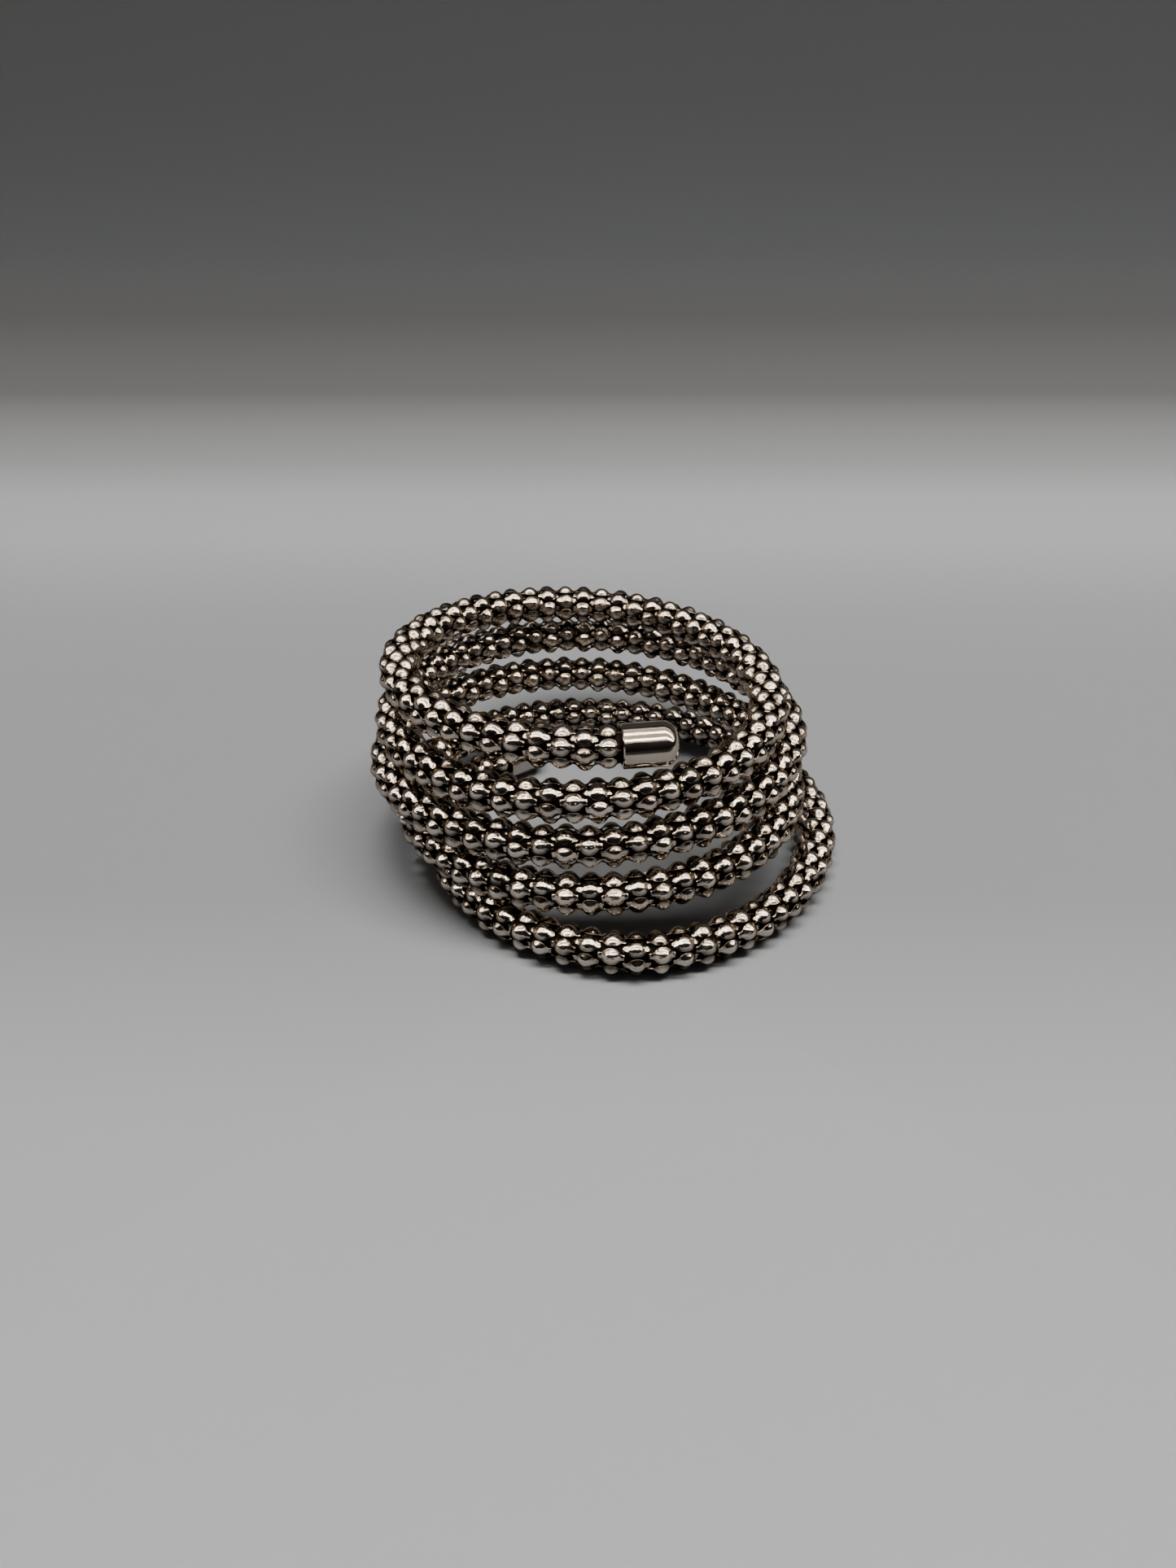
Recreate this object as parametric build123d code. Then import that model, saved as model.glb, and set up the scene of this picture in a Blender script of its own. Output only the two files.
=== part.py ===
from build123d import *
from math import cos, pi, radians, sin, tan
import os

# Chain, mm
chain_diameter = 7.5       # over the tips of its domed cups
chain_wall = 1.6           # height of the cups round the hollow inside
neck_length = 5.0          # end of the chain that is squeezed into a cap

# Spring wire, mm
wire_diameter = 2.0
wire_gap = 0.1             # round the wire, inside a squeezed neck

# End caps, mm
cap_diameter = 7.2
cap_length = 8.9
cap_wall = 0.7
cap_edge_radius = 2.3      # rounding of the closed end
cap_mouth_chamfer = 0.2
cap_floor = 1.2            # metal behind the closed end
neck_gap = 0.1             # round a neck, inside its cap
mouth_gap = 0.15           # between a cap's mouth and the chain's shoulder
wire_end_gap = 0.3         # between the wire's end and the cap's floor

# Coil, mm
coil_radius = 35.0         # centre line of an even turn
points_per_turn = 16       # corners of the route in one turn
top_turn = -0.023          # where the chain ends in front, in turns from the front middle
bottom_turn = 4.38         # where it ends on the surface, inside the lowest turn

# How the stack leans and opens out. Turns are counted from the front middle of the top
# turn, going to the left and down. The other columns are in chain diameters: the middle of
# the turn to the right and to the back, how much wider it is than an even turn, and how far
# it lies above the lowest turn, which is flat on the surface.
# turn, right, back, wider, above
COIL_SHARES = [
    (-0.05, 0.05, 0.42, -0.24, 4.36),
    (0.25, -0.22, 0.55, -0.35, 4.18),
    (0.75, -0.10, 0.17, -0.24, 3.49),
    (1.25, 0.05, 0.31, 0.07, 2.99),
    (1.75, 0.07, 0.45, 0.19, 2.47),
    (2.25, -0.04, 0.30, 0.21, 1.92),
    (2.75, 0.20, -0.11, 0.00, 1.36),
    (3.25, 0.44, 0.05, 0.14, 0.91),
    (3.50, 0.57, 0.16, 0.24, 0.21),
    (3.75, 0.91, 0.09, 0.21, 0.00),
    (4.00, 1.02, -0.59, 0.16, 0.00),
    (4.25, 1.11, -0.18, 0.05, 0.00),
    (4.50, 0.51, -1.17, -0.17, 0.00),
]

# Sizes that follow
chain_radius = chain_diameter / 2
chain_bore = chain_diameter - 2 * chain_wall
cap_bore = cap_diameter - 2 * cap_wall
cap_depth = cap_length - cap_floor
neck_diameter = cap_bore - 2 * neck_gap
neck_bore = wire_diameter + 2 * wire_gap
wire_reach = mouth_gap + cap_depth - wire_end_gap
rest_height = max(chain_diameter, cap_diameter) / 2


def between_rows(turn, column):
    """A column of COIL_SHARES at any turn, straight from one row to the next."""
    for low, high in zip(COIL_SHARES, COIL_SHARES[1:]):
        if turn <= high[0]:
            share = (turn - low[0]) / (high[0] - low[0])
            return low[column] + share * (high[column] - low[column])
    return COIL_SHARES[-1][column]


def coil_point(turn, outward=1.0):
    """A point of the coil's centre line; outward above 1 stands off it, as a corner does."""
    right, back, wider, above = (chain_diameter * between_rows(turn, k) for k in (1, 2, 3, 4))
    radius = (coil_radius + wider) * outward
    angle = 2 * pi * turn
    return Vector(
        right - radius * sin(angle),
        back - radius * cos(angle),
        rest_height + above,
    )


def route_points(reach):
    """Corners of a route whose sides touch the centre line, with ends that reach past the chain."""
    count = round((bottom_turn - top_turn) * points_per_turn)
    step = (bottom_turn - top_turn) / count
    outward = 1 / cos(pi * step)
    corners = [coil_point(top_turn + (k + 0.5) * step, outward) for k in range(count)]
    top = coil_point(top_turn)
    bottom = coil_point(bottom_turn)
    start = top + (top - corners[0]).normalized() * reach
    end = bottom + (bottom - corners[-1]).normalized() * reach
    return [start, *corners, end]


def corner_radii(points):
    """As large an arc as the two runs at each corner allow."""
    radii = []
    for before, here, after in zip(points, points[1:], points[2:]):
        half_turn = radians((here - before).get_angle(after - here)) / 2
        shorter = min((here - before).length, (after - here).length)
        radii.append(0.45 * shorter / tan(half_turn))
    return radii


def coil_path(reach):
    """The centre line with rounded corners, reaching past each end of the chain."""
    radii = corner_radii(route_points(wire_reach))
    return FilletPolyline(*route_points(reach), radius=radii)


def section_plane(path):
    return Plane(origin=path @ 0, z_dir=path % 0)


def end_planes(path):
    """A plane on each end of the path, facing away from the coil."""
    return [
        Plane(origin=path @ 0, z_dir=-(path % 0)),
        Plane(origin=path @ 1, z_dir=path % 1),
    ]


def standing(radius, height):
    return Cylinder(radius, height, align=(Align.CENTER, Align.CENTER, Align.MIN))


def make_chain(path):
    """The hollow chain, as thick as its cups are high, with a squeezed neck at each end."""
    ring = Circle(chain_radius) - Circle(chain_bore / 2)
    chain = sweep(section_plane(path) * ring, path)
    neck = standing(neck_diameter / 2, neck_length) - standing(neck_bore / 2, neck_length)
    for plane in end_planes(path):
        chain += plane * neck
    return chain


def make_wire(path):
    return sweep(section_plane(path) * Circle(wire_diameter / 2), path)


def make_cap():
    """A bullet-shaped cap with its mouth at the origin and its closed end up."""
    cap = standing(cap_diameter / 2, cap_length)
    cap = fillet(cap.edges().sort_by(Axis.Z)[-1], cap_edge_radius)
    cap -= standing(cap_bore / 2, cap_depth)
    rim = cap.edges().filter_by(GeomType.CIRCLE).group_by(Axis.Z)[0].sort_by(SortBy.RADIUS)[-1]
    return chamfer(rim, cap_mouth_chamfer)


def main():
    """Build each piece about the middle of the chain's footprint and write it."""
    chain_path = coil_path(0.0)
    middle = chain_path.bounding_box().center()
    to_origin = Pos(-middle.X, -middle.Y, 0)
    chain_path = to_origin * chain_path
    wire_path = to_origin * coil_path(wire_reach)
    radii = corner_radii(route_points(wire_reach))

    pieces = {
        "popcorn_chain": make_chain(chain_path),
        "spring_wire": make_wire(wire_path),
    }
    cap = Pos(0, 0, mouth_gap) * make_cap()
    for name, plane in zip(("end_cap_top", "end_cap_bottom"), end_planes(chain_path)):
        pieces[name] = plane * cap

    os.makedirs("parts", exist_ok=True)
    for name, piece in pieces.items():
        piece.label = name
        export_step(piece, os.path.join("parts", name + ".step"))

    print("arcs of the route: radius", round(min(radii), 1), "to", round(max(radii), 1))
    print("chain length", round(chain_path.length, 1), "mm")
    section = pi * (wire_diameter / 2) ** 2
    print("wire volume", round(pieces["spring_wire"].volume, 1),
          "section by length", round(section * wire_path.length, 1))
    section = pi * (chain_radius ** 2 - (chain_bore / 2) ** 2)
    necks = 2 * neck_length * pi * (neck_diameter ** 2 - neck_bore ** 2) / 4
    print("chain volume", round(pieces["popcorn_chain"].volume, 1),
          "section by length, with necks", round(section * chain_path.length + necks, 1))


main()
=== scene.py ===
from math import cos, pi, radians, sin, sqrt, tan

import bpy
import numpy as np
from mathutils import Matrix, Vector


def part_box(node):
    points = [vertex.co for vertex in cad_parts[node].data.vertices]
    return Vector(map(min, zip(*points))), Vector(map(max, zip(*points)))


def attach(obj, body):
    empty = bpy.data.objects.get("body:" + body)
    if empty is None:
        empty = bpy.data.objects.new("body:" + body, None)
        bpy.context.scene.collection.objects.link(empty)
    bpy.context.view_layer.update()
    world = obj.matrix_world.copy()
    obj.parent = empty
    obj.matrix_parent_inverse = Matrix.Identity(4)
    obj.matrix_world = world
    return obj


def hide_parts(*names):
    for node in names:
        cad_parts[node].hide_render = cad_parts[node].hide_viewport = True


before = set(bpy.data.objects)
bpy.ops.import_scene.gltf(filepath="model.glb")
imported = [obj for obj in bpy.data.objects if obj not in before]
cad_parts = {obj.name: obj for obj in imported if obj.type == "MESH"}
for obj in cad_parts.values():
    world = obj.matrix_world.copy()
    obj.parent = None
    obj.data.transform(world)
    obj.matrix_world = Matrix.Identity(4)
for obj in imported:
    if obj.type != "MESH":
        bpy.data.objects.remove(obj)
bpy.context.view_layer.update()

# Coil, metres
MM = 0.001
CHAIN_DIAMETER = 7.5 * MM          # over the tips of the cups
COIL_RADIUS = 35.0 * MM            # centre line of an even turn
TOP_TURN, BOTTOM_TURN = -0.023, 4.38
REST_HEIGHT = CHAIN_DIAMETER / 2   # centre line of the turn that lies on the floor
COIL_SAMPLES = 12000
TANGENT_STEP = 0.6 * MM            # from a place to the two points that give its direction

# How the stack leans and opens out. Turns are counted from the front middle of the top turn.
# The other columns are in chain diameters: the middle of the turn to the right and to the
# back, how much wider it is than an even turn, and how far it lies above the lowest turn.
# turn, right, back, wider, above
COIL_SHARES = [
    (-0.05, 0.05, 0.42, -0.24, 4.36),
    (0.25, -0.22, 0.55, -0.35, 4.18),
    (0.75, -0.10, 0.17, -0.24, 3.49),
    (1.25, 0.05, 0.31, 0.07, 2.99),
    (1.75, 0.07, 0.45, 0.19, 2.47),
    (2.25, -0.04, 0.30, 0.21, 1.92),
    (2.75, 0.20, -0.11, 0.00, 1.36),
    (3.25, 0.44, 0.05, 0.14, 0.91),
    (3.50, 0.57, 0.16, 0.24, 0.21),
    (3.75, 0.91, 0.09, 0.21, 0.00),
    (4.00, 1.02, -0.59, 0.16, 0.00),
    (4.25, 1.11, -0.18, 0.05, 0.00),
    (4.50, 0.51, -1.17, -0.17, 0.00),
]

# Rings of cups: distance along the chain in mm, and the ring that lies there, on a chain of
# the length that they were counted on
RING_PLACES = [(1.9, 0), (8.9, 2), (216.0, 58), (440.0, 118), (671.3, 180), (903.5, 242),
               (980.1, 262)]
COUNTED_LENGTH = 981.96
# Ring, and how far it is rolled about the chain, degrees from upright towards the outside
RING_ROLL = [(0, 4), (30, 2), (58, 0), (118, -4), (150, 2), (180, 10), (215, 8), (242, 4), (262, 0)]
RING_COUNT = 263
CUPS_IN_RING = 6
RINGS_IN_PIECE = 53

# How unevenly the cups sit: spread of a ring's roll and a cup's tilt in degrees, and of a
# cup's shift in mm
RANDOM_SEED = 11
ROLL_SPREAD, TILT_SPREAD = 1.0, 1.6
SHIFT_ALONG, SHIFT_ROUND, SHIFT_INWARD = 0.03, 0.02, 0.012
TILT_LEVEL = 3.0                   # height of the point that a cup tilts about

# One stamped cup, mm: u along the chain, v round it, w out from the chain's middle
DOME_LONG, DOME_WIDE = 1.63, 1.565  # half the dome along the chain and round it
DOME_ANGLES = (28, 38, 49, 62, 76, 90)  # corners on a quarter of its edge, degrees
DOME_TIP = 3.72
TIP_ROUNDING, BALL = 1.12, 1.65    # the dome lies between a paraboloid and a ball
BALL_SHARE = 0.72                  # how near it is to the ball
TAB_REACH, TAB_HALF = 2.32, 0.48   # where a tab ends, and half its width
TAB_WAIST = 1.78                   # where its straight sides end
TAB_ROOT, TAB_ROOT_HALF = 1.60, 0.55  # where it runs into the dome
TAB_LEVEL = 2.79
TAB_START = 1.5                    # where a tab starts to drop
TAB_DROP = 0.13                    # how far a tab's end lies below its root
TAB_CROWN = 0.2                    # curve of a tab across its width
TAB_BEND = 0.45                    # how far its very end is turned inward
FLARE = 0.24                       # softness of the join between dome and tab
THICKNESS = 0.26                   # of its sheet metal
EDGE_RISE = 0.02                   # from the outer to the inner rim of the cut edge

# Rings of corners on a cup's outer face, as shares of its plan from the tip to the edge
FACE_RINGS = (0.22, 0.43, 0.62, 0.79, 0.92, 1.0)
BEND_START, BEND_END = 0.965, 0.975  # where the last two of them lie on a tab's end
HOLLOW_RING, HOLLOW_SHARE = 0.55, 0.9  # the ring on the inner face, and how it is drawn in
LIP_END, LIP_SIDE = 0.8, 0.7       # width of a tab's inner face at its end and its sides
LIP_DROP = 0.9                     # how far its sides lie inside the outer face, in thicknesses
SHADE_START = 0.55                # share of the plan where a painted shade starts to darken a cup
TAB_SHADE = 0.7                   # how deep that painted shade is on its tabs, next to the dome's edge

# Squeezed neck at each end of the chain, mm: from the chain's end and out from its middle
NECK_INNER = 2.3
NECK_PROFILE = [(-1.3, 2.62), (-0.9, 2.78), (-0.35, 2.80), (0.0, 2.76), (0.5, 2.66),
                (2.0, 2.64), (2.0, NECK_INNER), (-1.3, NECK_INNER)]
NECK_SIDES = 48
NECK_FOLDS, FOLD_HEIGHT = 6, 0.06

# Near-black sleeve inside the cups, mm, on the wall of the solid's bore: a painted shade that fills
# the gaps between the cups
WALL_OUTER, WALL_INNER = 2.28, 2.15
WALL_SIDES, WALL_PLACES = 12, 420


# The coil
def coil_line():
    """Points of the coil's centre line, worked out from the rows, and the distance along it."""
    rows = np.array(COIL_SHARES)
    turns = np.linspace(TOP_TURN, BOTTOM_TURN, COIL_SAMPLES)
    right, back, wider, above = (
        CHAIN_DIAMETER * np.interp(turns, rows[:, 0], rows[:, k]) for k in (1, 2, 3, 4)
    )
    radius = COIL_RADIUS + wider
    points = np.stack([
        right - radius * np.sin(2 * pi * turns),
        back - radius * np.cos(2 * pi * turns),
        REST_HEIGHT + above,
    ], axis=1)
    low, high = (np.array(corner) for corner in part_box("popcorn_chain"))
    middle = (low + high) / 2
    own_middle = (points.min(axis=0) + points.max(axis=0)) / 2
    points[:, :2] += (middle - own_middle)[:2]
    steps = np.linalg.norm(np.diff(points, axis=0), axis=1)
    return points, np.concatenate([[0], np.cumsum(steps)])


def frame_at(points, along, place):
    """Middle, tangent, up and outward at a distance along the coil."""
    def at(distance):
        return np.array([np.interp(distance, along, points[:, k]) for k in range(3)])
    tangent = at(min(place + TANGENT_STEP, along[-1])) - at(max(place - TANGENT_STEP, 0))
    tangent /= np.linalg.norm(tangent)
    up = np.array([0, 0, 1.0])
    up -= tangent * (up @ tangent)
    up /= np.linalg.norm(up)
    return at(place), tangent, up, np.cross(up, tangent)


# Meshes
def band(first, second, count):
    """Faces between two closed rings of corners that start at first and second."""
    return [(first + k, second + k, second + (k + 1) % count, first + (k + 1) % count)
            for k in range(count)]


def turned_over(faces):
    """The same faces, facing the other way."""
    return [(face[0], *face[:0:-1]) for face in faces]


def linked(name, data):
    """A new object in the scene that shows a mesh, a light or a camera."""
    obj = bpy.data.objects.new(name, data)
    bpy.context.scene.collection.objects.link(obj)
    return obj


def new_object(name, verts, faces, material):
    mesh = bpy.data.meshes.new(name)
    mesh.from_pydata([tuple(v) for v in verts], [], faces)
    mesh.materials.append(material)
    mesh.shade_smooth()
    return linked(name, mesh)


# One stamped cup
def cup_outline():
    """Corners of the cup's plan, one quarter mirrored to four: u, v and the part of the cup."""
    quarter = [(TAB_REACH, 0.0, "end"), (TAB_REACH, TAB_HALF, "end"),
               (TAB_WAIST, TAB_HALF, "side"), (TAB_ROOT, TAB_ROOT_HALF, "side")]
    for angle in DOME_ANGLES:
        quarter.append((DOME_LONG * cos(radians(angle)), DOME_WIDE * sin(radians(angle)), "dome"))
    half = quarter + [(-u, v, part) for u, v, part in reversed(quarter[:-1])]
    return half + [(u, -v, part) for u, v, part in reversed(half[1:-1])]


def cup_height(u, v):
    """Height of the outer face: a pointed dome that flares into a flat tab at each end."""
    away = u * u + v * v
    ball = BALL - sqrt(max(BALL * BALL - away, 0.0))
    dome = DOME_TIP - BALL_SHARE * ball - (1 - BALL_SHARE) * away / (2 * TIP_ROUNDING)
    beyond = max(0.0, abs(u) - TAB_START) / (TAB_REACH - TAB_START)
    tab = TAB_LEVEL - TAB_DROP * beyond - (TAB_CROWN * v * v if beyond else 0.0)
    near = max(FLARE - abs(dome - tab), 0.0) / FLARE
    return max(dome, tab) + near * near * FLARE / 4


def outer_corner(u, v, part, share):
    """A corner of the outer face, at a share of the way from the tip to the edge."""
    w = cup_height(u * share, v * share)
    if part == "end" and share == FACE_RINGS[-1]:
        return u * BEND_END, v, w - TAB_BEND
    if part == "end" and share == FACE_RINGS[-2]:
        return u * BEND_START, v, w
    return u * share, v * share, w


def lip_corner(u, v, w, part):
    """The corner of the inner face across the cut edge from a corner of the outer face."""
    if part == "end":
        return u - THICKNESS * (1 if u > 0 else -1), v * LIP_END, w
    if part == "side":
        return u, v * LIP_SIDE, w - THICKNESS * LIP_DROP
    length = sqrt(u * u + v * v)
    shrink = (length - THICKNESS) / length
    return u * shrink, v * shrink, w + EDGE_RISE


def hollow_corner(u, v):
    """A corner of the inner face, under the dome."""
    u, v = u * HOLLOW_RING, v * HOLLOW_RING
    return u * HOLLOW_SHARE, v * HOLLOW_SHARE, cup_height(u, v) - THICKNESS


def cup_template():
    """Corners, faces, depth of painted shade at each corner and number of the first inner face of a
    closed cup.
    """
    outline = cup_outline()
    n = len(outline)
    verts, recess_shade = [(0.0, 0.0, cup_height(0, 0))], [0.0]
    for share in FACE_RINGS:
        # the painted shade deepens towards the cup's edge
        darker = max(0.0, share - SHADE_START) / (1 - SHADE_START)
        for u, v, part in outline:
            verts.append(outer_corner(u, v, part, share))
            recess_shade.append(darker * (1.0 if part == "dome" else TAB_SHADE))
    edge = len(verts) - n
    lip, hollow, centre = edge + n, edge + 2 * n, edge + 3 * n
    verts += [lip_corner(*verts[edge + k], outline[k][2]) for k in range(n)]
    verts += [hollow_corner(u, v) for u, v, _ in outline]
    verts.append((0.0, 0.0, cup_height(0, 0) - THICKNESS))
    # the cut edge and the inner face lie in full painted shade
    recess_shade += [1.0] * (2 * n + 1)

    faces = [(0, 1 + k, 1 + (k + 1) % n) for k in range(n)]
    for start in range(1, edge, n):
        faces += band(start, start + n, n)
    faces += band(edge, lip, n)
    first_inner = len(faces)
    faces += band(lip, hollow, n)
    faces += [(hollow + k, centre, hollow + (k + 1) % n) for k in range(n)]
    return np.array(verts), faces, np.array(recess_shade), first_inner


def joined_cups(name, matrices, tones, template, materials):
    """Many placed copies of the cup as one mesh."""
    verts, faces, recess_shade, first_inner = template
    n, count = len(verts), len(matrices)
    flat = np.concatenate([verts, np.ones((n, 1))], axis=1)
    placed = np.einsum("mij,nj->mni", matrices, flat)[:, :, :3]
    corners = np.concatenate([np.array(face) for face in faces])
    corners = (corners[None, :] + n * np.arange(count)[:, None]).ravel()
    sizes = np.tile([len(face) for face in faces], count)
    starts = np.concatenate([[0], np.cumsum(sizes)[:-1]])
    is_inner = np.arange(len(faces)) >= first_inner
    mesh = bpy.data.meshes.new(name)
    mesh.vertices.add(n * count)
    mesh.vertices.foreach_set("co", placed.astype(np.float32).ravel())
    mesh.loops.add(len(corners))
    mesh.loops.foreach_set("vertex_index", corners.astype(np.int32))
    mesh.polygons.add(len(sizes))
    mesh.polygons.foreach_set("loop_start", starts.astype(np.int32))
    for material in materials:
        mesh.materials.append(material)
    mesh.polygons.foreach_set("material_index", np.tile(is_inner, count).astype(np.int32))
    mesh.update(calc_edges=True)
    mesh.validate()
    mesh.shade_smooth()
    # each point carries the depth of its painted shade and its cup's random tone
    for title, values in (("recess_shade", np.tile(recess_shade, count)), ("cup_tone", np.repeat(tones, n))):
        attribute = mesh.attributes.new(title, "FLOAT", "POINT")
        attribute.data.foreach_set("value", values.astype(np.float32))
    return linked(name, mesh)


# Places of the cups
def turned(x, y, z):
    """A small rotation from three angles in radians."""
    about_x = np.array([[1, 0, 0], [0, cos(x), -sin(x)], [0, sin(x), cos(x)]])
    about_y = np.array([[cos(y), 0, sin(y)], [0, 1, 0], [-sin(y), 0, cos(y)]])
    about_z = np.array([[cos(z), -sin(z), 0], [sin(z), cos(z), 0], [0, 0, 1]])
    return about_x @ about_y @ about_z


def cup_matrix(rng, middle, tangent, normal):
    """The placing of one cup that stands along normal, a little askew."""
    tilt = turned(*rng.normal(0, radians(TILT_SPREAD), 3))
    inward = abs(rng.normal(0, SHIFT_INWARD))
    shift = np.array([rng.normal(0, SHIFT_ALONG), rng.normal(0, SHIFT_ROUND), -inward])
    pivot = np.array([0, 0, TILT_LEVEL])
    askew = np.eye(4)
    askew[:3, :3] = tilt
    askew[:3, 3] = pivot - tilt @ pivot + shift
    straight = np.eye(4)
    straight[:3, :3] = np.stack([tangent, np.cross(normal, tangent), normal], axis=1) * MM
    straight[:3, 3] = middle
    return straight @ askew


def ring_matrices(points, along):
    """For each ring, a placing matrix and a tone for every cup."""
    rng = np.random.default_rng(RANDOM_SEED)
    distances, numbers = np.array(RING_PLACES).T
    distances = distances * MM * (along[-1] / (COUNTED_LENGTH * MM))
    roll_rings, rolls = np.array(RING_ROLL, float).T
    rings = []
    for ring in range(RING_COUNT):
        place = np.interp(ring, numbers, distances)
        middle, tangent, up, out = frame_at(points, along, place)
        roll = radians(np.interp(ring, roll_rings, rolls) + rng.normal(0, ROLL_SPREAD))
        cups = []
        for cup in range(CUPS_IN_RING):
            angle = 2 * pi * (cup + 0.5 * (ring % 2)) / CUPS_IN_RING + roll
            normal = cos(angle) * up + sin(angle) * out
            cups.append(cup_matrix(rng, middle, tangent, normal))
        rings.append((cups, rng.normal(0, 1.0, CUPS_IN_RING)))
    return rings


# Nodes of the materials
def node_material(name, metallic):
    """A new material, its node tree and its shader."""
    material = bpy.data.materials.new(name)
    material.use_nodes = True
    shader = material.node_tree.nodes["Principled BSDF"]
    shader.inputs["Metallic"].default_value = metallic
    return material, material.node_tree, shader


def object_place(tree):
    return tree.nodes.new("ShaderNodeTexCoord").outputs["Object"]


def named_value(tree, name):
    """What the mesh says of each point under a name."""
    node = tree.nodes.new("ShaderNodeAttribute")
    node.attribute_name = name
    return node.outputs["Fac"]


def noise(tree, coordinates, scale, detail, stretch=None):
    if stretch:
        mapping = tree.nodes.new("ShaderNodeMapping")
        mapping.inputs["Scale"].default_value = stretch
        tree.links.new(coordinates, mapping.inputs["Vector"])
        coordinates = mapping.outputs["Vector"]
    node = tree.nodes.new("ShaderNodeTexNoise")
    node.inputs["Scale"].default_value = scale
    node.inputs["Detail"].default_value = detail
    tree.links.new(coordinates, node.inputs["Vector"])
    return node.outputs["Fac"]


def spread(tree, value, low, high, from_low=0.0, from_high=1.0):
    """The value, mapped from its own range to low and high."""
    node = tree.nodes.new("ShaderNodeMapRange")
    node.inputs["From Min"].default_value = from_low
    node.inputs["From Max"].default_value = from_high
    node.inputs["To Min"].default_value = low
    node.inputs["To Max"].default_value = high
    tree.links.new(value, node.inputs["Value"])
    return node.outputs["Result"]


def multiply_add(tree, value, factor, added):
    node = tree.nodes.new("ShaderNodeMath")
    node.operation = "MULTIPLY_ADD"
    tree.links.new(value, node.inputs[0])
    node.inputs[1].default_value = factor
    tree.links.new(added, node.inputs[2])
    return node.outputs["Value"]


def clamped_sum(tree, first, second):
    node = tree.nodes.new("ShaderNodeMath")
    node.operation = "ADD"
    node.use_clamp = True
    tree.links.new(first, node.inputs[0])
    tree.links.new(second, node.inputs[1])
    return node.outputs["Value"]


def length_of(tree, vector):
    node = tree.nodes.new("ShaderNodeVectorMath")
    node.operation = "LENGTH"
    tree.links.new(vector, node.inputs[0])
    return node.outputs["Value"]


def ramp(tree, value, stops):
    """The colour at a value; a stop's colour is three numbers, or one for a grey."""
    node = tree.nodes.new("ShaderNodeValToRGB")
    elements = node.color_ramp.elements
    while len(elements) < len(stops):
        elements.new(0.5)
    for element, (place, colour) in zip(elements, stops):
        element.position = place
        element.color = (*(colour if isinstance(colour, tuple) else (colour,) * 3), 1.0)
    tree.links.new(value, node.inputs["Fac"])
    return node.outputs["Color"]


def graded(tree, value, stops):
    """The colour at a value, where the stops' places are such values too."""
    low, high = stops[0][0], stops[-1][0]
    shares = [((place - low) / (high - low), colour) for place, colour in stops]
    return ramp(tree, spread(tree, value, 0.0, 1.0, low, high), shares)


def mixed(tree, factor, first, second, blend="MIX"):
    """Two colours mixed; each of the three is a plain value or another node's output."""
    node = tree.nodes.new("ShaderNodeMix")
    node.data_type = "RGBA"
    node.blend_type = blend
    for title, value in (("Factor", factor), ("A", first), ("B", second)):
        if isinstance(value, bpy.types.NodeSocket):
            tree.links.new(value, node.inputs[title])
        else:
            node.inputs[title].default_value = value
    return node.outputs["Result"]


def multiplied(tree, first, second):
    return mixed(tree, 1.0, first, second, "MULTIPLY")


def bumped(tree, height, strength, distance, below=None):
    """The surface with a relief, on top of the relief below."""
    node = tree.nodes.new("ShaderNodeBump")
    node.inputs["Strength"].default_value = strength
    node.inputs["Distance"].default_value = distance
    tree.links.new(height, node.inputs["Height"])
    if below:
        tree.links.new(below, node.inputs["Normal"])
    return node.outputs["Normal"]


# Materials. Noise is in waves to the metre, and colours are linear.
MOTTLE, GRAIN = 900.0, 3200.0      # on the plating
TONE_SHARE = 0.12                  # how much the cups differ
DENT_STRENGTH, DENT_DEPTH, GRAIN_DEPTH = 0.5, 0.12 * MM, 0.04 * MM
SMUDGES, HAIRLINES, WIRE_GRAIN = 420.0, 900.0, 1400.0
HAIR_STRETCH = (0.5, 6.0, 6.0)     # hairlines run along x
HAIR_STRENGTH, HAIR_DEPTH = 0.12, 0.03 * MM


def plated_material(name, bright, shade_and_wear_colour, edge, roughness, relief):
    """Warm silver-tone plating: brighter on the domes and darkened towards the cut edges by a
    painted shade, with a random tone for each cup and a mottled tarnish.
    """
    material, tree, shader = node_material(name, 1.0)
    shader.inputs["Specular Tint"].default_value = (*edge, 1.0)
    place = object_place(tree)
    mottle = noise(tree, place, MOTTLE, 4.0)
    grain = noise(tree, place, GRAIN, 2.0)
    tarnish = spread(tree, mottle, -0.1, 0.32, 0.3, 0.75)
    wear = multiply_add(tree, named_value(tree, "cup_tone"), TONE_SHARE, tarnish)
    # painted shade of the recesses, on top of the random tone and the tarnish
    shade_and_wear = clamped_sum(tree, named_value(tree, "recess_shade"), wear)
    colour = mixed(tree, shade_and_wear, (*bright, 1.0), (*shade_and_wear_colour, 1.0))
    tree.links.new(colour, shader.inputs["Base Color"])
    tree.links.new(spread(tree, mottle, *roughness, 0.3, 0.7), shader.inputs["Roughness"])
    dents = bumped(tree, mottle, DENT_STRENGTH, DENT_DEPTH)
    tree.links.new(bumped(tree, grain, relief, GRAIN_DEPTH, dents), shader.inputs["Normal"])
    return material


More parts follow.
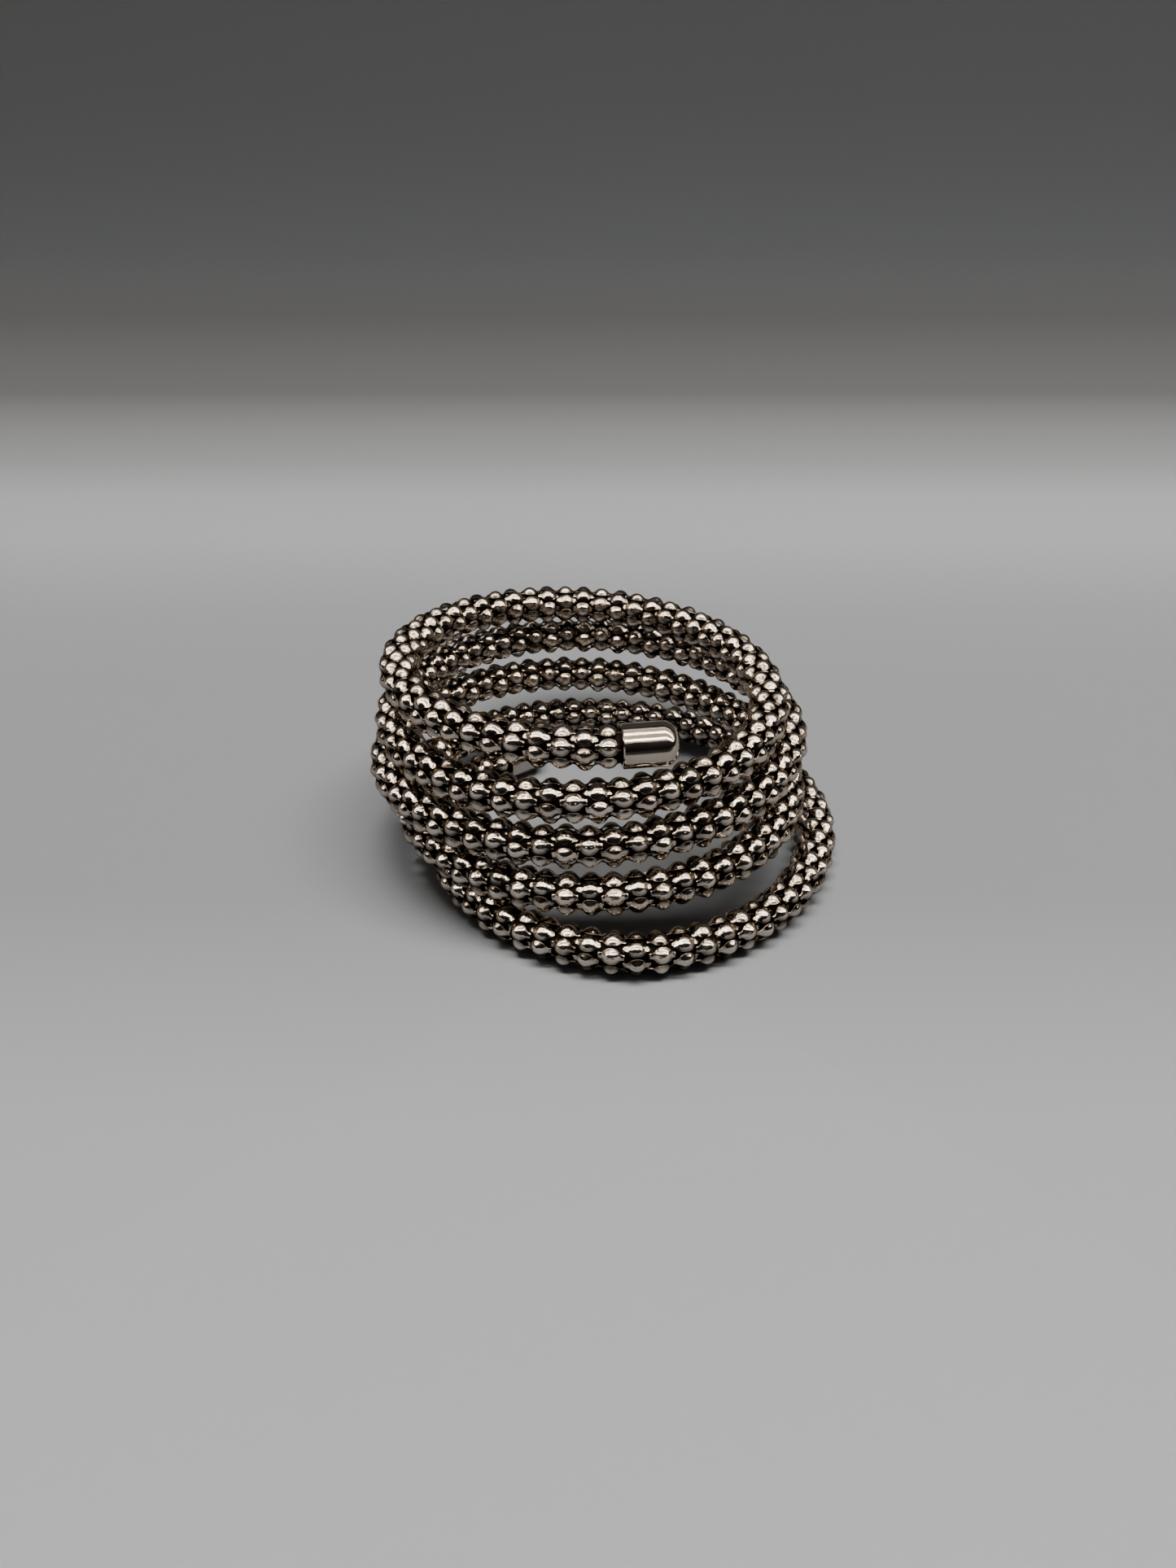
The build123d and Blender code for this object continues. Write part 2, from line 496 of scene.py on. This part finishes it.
def cap_material():
    """Polished cap: the same plating, smoother, with faint smudges and hairline scratches."""
    material, tree, shader = node_material("polished_cap_metal", 1.0)
    place = object_place(tree)
    smudge = noise(tree, place, SMUDGES, 3.0)
    hair = noise(tree, place, HAIRLINES, 2.0, HAIR_STRETCH)
    colour = ramp(tree, smudge, [(0.3, (0.37, 0.334, 0.297)), (0.7, (0.33, 0.298, 0.264))])
    tree.links.new(colour, shader.inputs["Base Color"])
    tree.links.new(spread(tree, smudge, 0.06, 0.16, 0.35, 0.7), shader.inputs["Roughness"])
    tree.links.new(bumped(tree, hair, HAIR_STRENGTH, HAIR_DEPTH), shader.inputs["Normal"])
    return material


def wire_material():
    """Drawn spring steel, hidden in the chain, coloured near black as a painted shade."""
    material, tree, shader = node_material("drawn_spring_steel_painted_shade", 1.0)
    grain = noise(tree, object_place(tree), WIRE_GRAIN, 3.0)
    # near-black colour, a painted shade for the dark inside the chain
    colour = ramp(tree, grain, [(0.3, (0.007, 0.0062, 0.006)), (0.75, (0.016, 0.0145, 0.013))])
    tree.links.new(colour, shader.inputs["Base Color"])
    tree.links.new(spread(tree, grain, 0.35, 0.6), shader.inputs["Roughness"])
    return material


# Painted light and shade on the sheet by its height in metres, where it rises behind the object
BACK_LIGHT_AND_SHADE = [(0.0, 1.0), (0.0048, 0.93), (0.01152, 0.66), (0.03104, 0.26), (0.0544, 0.262),
              (0.08, 0.46), (0.0992, 0.39), (0.12, 0.335), (0.16, 0.275)]
# Painted light and shade on it from front to back: dark beyond its front edge, and brightest in
# front of the object and behind it
FLOOR_LIGHT_AND_SHADE = [(-0.25, (0.02, 0.018, 0.016)), (-0.18, (0.05, 0.046, 0.042)), (-0.155, 0.4),
               (-0.1325, 1.0), (-0.07, 0.95), (-0.02, 0.70), (0.07, 0.72), (0.11, 0.776),
               (0.165, 1.0), (0.25, 1.0)]
# Ovals of deeper shade, behind the front turns and behind the back turns: middle and half
# size in metres, and how bright it is at the middle
FLOOR_OVALS = [((0.005, -0.014), (0.034, 0.024), 0.3), ((0.0, 0.047), (0.034, 0.018), 0.2)]
OVAL_INNER, OVAL_OUTER = 0.4, 1.1  # where an oval starts and ends to fade, in half sizes
FAR_SHADE_START, FAR_SHADE_END = 0.45, 1.3   # how far from the object the painted shade of the far sheet starts and ends
FAR_SHADE_DEPTH = 0.93                     # how far that painted shade turns it to the dark of the room


def oval_shade(tree, place, middle, size, tone):
    """From tone inside an oval on the floor to 1 outside it."""
    about = tree.nodes.new("ShaderNodeMapping")
    about.inputs["Scale"].default_value = (1 / size[0], 1 / size[1], 0.0)
    about.inputs["Location"].default_value = (-middle[0] / size[0], -middle[1] / size[1], 0.0)
    tree.links.new(place, about.inputs["Vector"])
    away = length_of(tree, about.outputs["Vector"])
    return spread(tree, away, tone, 1.0, OVAL_INNER, OVAL_OUTER)


def sheet_material():
    """Pale studio sheet with a faint grain and the shading of the photograph's backdrop."""
    material, tree, shader = node_material("pale_studio_sheet", 0.0)
    place = object_place(tree)
    split = tree.nodes.new("ShaderNodeSeparateXYZ")
    tree.links.new(place, split.inputs["Vector"])
    cloud = noise(tree, place, 3.0, 2.0)
    colour = ramp(tree, cloud, [(0.3, (0.146, 0.168, 0.203)), (0.7, (0.152, 0.175, 0.211))])
    # painted shade: the sheet turns dark far from the object
    far_shade = spread(tree, length_of(tree, place), 0.0, FAR_SHADE_DEPTH, FAR_SHADE_START, FAR_SHADE_END)
    colour = mixed(tree, far_shade, colour, (0.02, 0.02, 0.02, 1.0))
    # painted light and shade by height, where the sheet rises behind the object
    colour = multiplied(tree, colour, graded(tree, split.outputs["Z"], BACK_LIGHT_AND_SHADE))
    # painted light and shade from front to back
    colour = multiplied(tree, colour, graded(tree, split.outputs["Y"], FLOOR_LIGHT_AND_SHADE))
    for middle, size, tone in FLOOR_OVALS:
        colour = multiplied(tree, colour, oval_shade(tree, place, middle, size, tone))
    tree.links.new(colour, shader.inputs["Base Color"])
    shader.inputs["Roughness"].default_value = 0.6
    shader.inputs["Specular IOR Level"].default_value = 0.15
    grain = noise(tree, place, 800.0, 4.0)
    tree.links.new(bumped(tree, grain, 0.05, 0.2 * MM), shader.inputs["Normal"])
    return material


# The chain
def stand_for_chain(piece):
    """Say that a piece rides on the object's body and stands for the chain's solid."""
    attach(piece, "root")
    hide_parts("popcorn_chain")


def make_cups(points, along, materials):
    """All the cups, joined in pieces of some rings each."""
    template = cup_template()
    rings = ring_matrices(points, along)
    for start in range(0, RING_COUNT, RINGS_IN_PIECE):
        group = rings[start:start + RINGS_IN_PIECE]
        matrices = np.array([matrix for cups, _ in group for matrix in cups])
        tones = np.concatenate([tone for _, tone in group])
        name = "chain_turn_%d" % (start // RINGS_IN_PIECE + 1)
        stand_for_chain(joined_cups(name, matrices, tones, template, materials))


def make_neck(name, points, along, place, direction, material):
    """The last tabs, squeezed together into the mouth of a cap."""
    middle, tangent, up, _ = frame_at(points, along, place)
    tangent = tangent * direction
    side = np.cross(up, tangent)
    corners = len(NECK_PROFILE)
    verts, faces = [], []
    for k in range(NECK_SIDES):
        angle = 2 * pi * k / NECK_SIDES
        fold = FOLD_HEIGHT * cos(NECK_FOLDS * angle)
        for ahead, radius in NECK_PROFILE:
            radius = radius + (fold if radius > NECK_INNER else 0)
            outward = cos(angle) * up + sin(angle) * side
            verts.append(middle + MM * (tangent * ahead + radius * outward))
        faces += turned_over(band(k * corners, (k + 1) % NECK_SIDES * corners, corners))
    stand_for_chain(new_object(name, verts, faces, material))


def make_shade_sleeve(points, along, material):
    """A near-black sleeve round the chain's bore, a painted shade that shows in the gaps between the
    cups.
    """
    verts = []
    for place in np.linspace(0, along[-1], WALL_PLACES):
        middle, _, up, out = frame_at(points, along, place)
        for radius in (WALL_OUTER, WALL_INNER):
            for k in range(WALL_SIDES):
                angle = 2 * pi * k / WALL_SIDES
                verts.append(middle + MM * radius * (cos(angle) * up + sin(angle) * out))
    step = 2 * WALL_SIDES
    last = step * (WALL_PLACES - 1)
    faces = turned_over(band(0, WALL_SIDES, WALL_SIDES))
    for outer in range(0, last, step):
        inner = outer + WALL_SIDES
        faces += band(outer, outer + step, WALL_SIDES)
        faces += turned_over(band(inner, inner + step, WALL_SIDES))
    faces += band(last, last + WALL_SIDES, WALL_SIDES)
    stand_for_chain(new_object("chain_shade_sleeve", verts, faces, material))


points, along = coil_line()
outer_metal = plated_material("plated_cups", bright=(0.462, 0.419, 0.376), shade_and_wear_colour=(0.045, 0.037, 0.03),
                              edge=(0.45, 0.40, 0.34), roughness=(0.08, 0.16), relief=0.8)
# The cups' inner faces are coloured near black, a painted shade for the dark inside the chain
painted_shade_metal = plated_material("plated_cups_inside_painted_shade", bright=(0.005, 0.004, 0.0035),
                              shade_and_wear_colour=(0.003, 0.0024, 0.002), edge=(0.01, 0.008, 0.007),
                              roughness=(0.5, 0.65), relief=0.2)
make_cups(points, along, [outer_metal, painted_shade_metal])
# The necks take the same near-black metal, a painted shade in the mouths of the caps
make_neck("chain_neck_top", points, along, 0.0, -1, painted_shade_metal)
make_neck("chain_neck_bottom", points, along, along[-1], 1, painted_shade_metal)
make_shade_sleeve(points, along, painted_shade_metal)


# Carried-over solids
def finish_node(name, material):
    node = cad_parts[name]
    if not node.material_slots:
        node.data.materials.append(material)
    for slot in node.material_slots:
        slot.material = material


polished = cap_material()
finish_node("end_cap_top", polished)
finish_node("end_cap_bottom", polished)
finish_node("spring_wire", wire_material())

# Stage, metres: a pale sheet that curves up behind
ACROSS = [-3.0, -1.0, -0.4, 0.0, 0.4, 1.0, 3.0]
FLAT_PLACES = [-3.0, -1.0, -0.3, 0.0, 0.12]
CURVE_START, CURVE_RADIUS, CURVE_STEPS = 0.17, 0.08, 24
BACK_HEIGHTS = [0.2, 0.3]


def make_stage():
    """The sheet, in rows of corners from front to back and up."""
    profile = [(y, 0.0) for y in FLAT_PLACES]
    for k in range(CURVE_STEPS + 1):
        angle = radians(90 * k / CURVE_STEPS)
        profile.append((CURVE_START + CURVE_RADIUS * sin(angle), CURVE_RADIUS * (1 - cos(angle))))
    profile += [(CURVE_START + CURVE_RADIUS, z) for z in BACK_HEIGHTS]
    verts = [(x, y, z) for y, z in profile for x in ACROSS]
    row = len(ACROSS)
    starts = [r * row + c for r in range(len(profile) - 1) for c in range(row - 1)]
    faces = [(k, k + 1, k + row + 1, k + row) for k in starts]
    new_object("studio_sheet", verts, faces, sheet_material())


make_stage()

# Light, metres. Radiance is what a mirror would show of a lamp.
LAMP_COLOUR = (1.0, 0.87, 0.72)
LAMP_LENGTH = 8.0                  # of the panel and the strips, from left to right
PANEL_HEIGHT = 1.2
PANEL_FRONT = PANEL_HEIGHT / tan(radians(44))  # its reach, by the height of its edge in degrees
PANEL_BACK = PANEL_HEIGHT * tan(radians(26))   # and by its edge's angle from straight overhead
PANEL_RADIANCE = 1.25
STRIP_HEIGHT = PANEL_HEIGHT - 0.02
# name, place to the back, depth, radiance
STRIPS = [
    ("overhead_strip", -0.03, 0.22, 17.0),
    ("front_strip", -0.77, 0.25, 25.0),
    ("back_strip", 0.54, 0.16, 1.5),
]
BOX_PLACE = (0.16, -0.06, PANEL_HEIGHT - 0.03)
BOX_LENGTH, BOX_DEPTH, BOX_RADIANCE = 1.2, 0.16, 98.0


def make_lamp(name, place, length, depth, radiance, lights_sheet=False):
    """A rectangular lamp that faces down: it lights the sheet, or else the metal mirrors it."""
    light = bpy.data.lights.new(name, "AREA")
    light.shape = "RECTANGLE"
    light.size, light.size_y = length, depth
    light.energy = radiance * length * depth * pi
    light.color = LAMP_COLOUR
    lamp = linked(name, light)
    lamp.location = place
    lamp.visible_camera = False
    lamp.visible_diffuse = lights_sheet
    lamp.visible_glossy = not lights_sheet


make_lamp("overhead_panel", (0.0, (PANEL_BACK - PANEL_FRONT) / 2, PANEL_HEIGHT), LAMP_LENGTH,
          PANEL_FRONT + PANEL_BACK, PANEL_RADIANCE)
for name, back, depth, radiance in STRIPS:
    make_lamp(name, (0.0, back, STRIP_HEIGHT), LAMP_LENGTH, depth, radiance)
make_lamp("overhead_box", BOX_PLACE, BOX_LENGTH, BOX_DEPTH, BOX_RADIANCE, lights_sheet=True)

# The dim room round the object: how far up a direction points, from -1 to 1, and its colour
ROOM_TONES = [(-0.2, (0.05, 0.04, 0.035)), (0.02, (0.035, 0.024, 0.019)),
              (0.12, (0.008, 0.008, 0.008)), (0.4, (0.03, 0.03, 0.031)),
              (0.8, (0.06, 0.06, 0.062))]


def make_room():
    world = bpy.data.worlds.new("dim_room")
    world.use_nodes = True
    bpy.context.scene.world = world
    tree = world.node_tree
    direction = tree.nodes.new("ShaderNodeTexCoord").outputs["Generated"]
    split = tree.nodes.new("ShaderNodeSeparateXYZ")
    tree.links.new(direction, split.inputs["Vector"])
    colour = graded(tree, split.outputs["Z"], ROOM_TONES)
    tree.links.new(colour, tree.nodes["Background"].inputs["Color"])


make_room()

# Camera, as the photograph was taken
FOCAL_PIXELS, PHOTO_PIXELS = 1373.0, 1927.0  # focal length, and the photo's longer side
SENSOR = 36.0                      # mm, for that side
CAMERA_PLACE = (-3.263 * MM, -179.10 * MM, 123.06 * MM)
LOOKS_DOWN = 31.9257               # degrees
NEAREST, FARTHEST = 0.01, 20.0     # metres


def make_camera():
    camera = bpy.data.cameras.new("camera")
    camera.type = "PERSP"
    camera.sensor_fit = "AUTO"
    camera.sensor_width = SENSOR
    camera.lens = FOCAL_PIXELS * SENSOR / PHOTO_PIXELS
    camera.clip_start, camera.clip_end = NEAREST, FARTHEST
    viewer = linked("camera", camera)
    viewer.location = CAMERA_PLACE
    viewer.rotation_euler = (radians(90 - LOOKS_DOWN), 0, 0)
    bpy.context.scene.camera = viewer


make_camera()
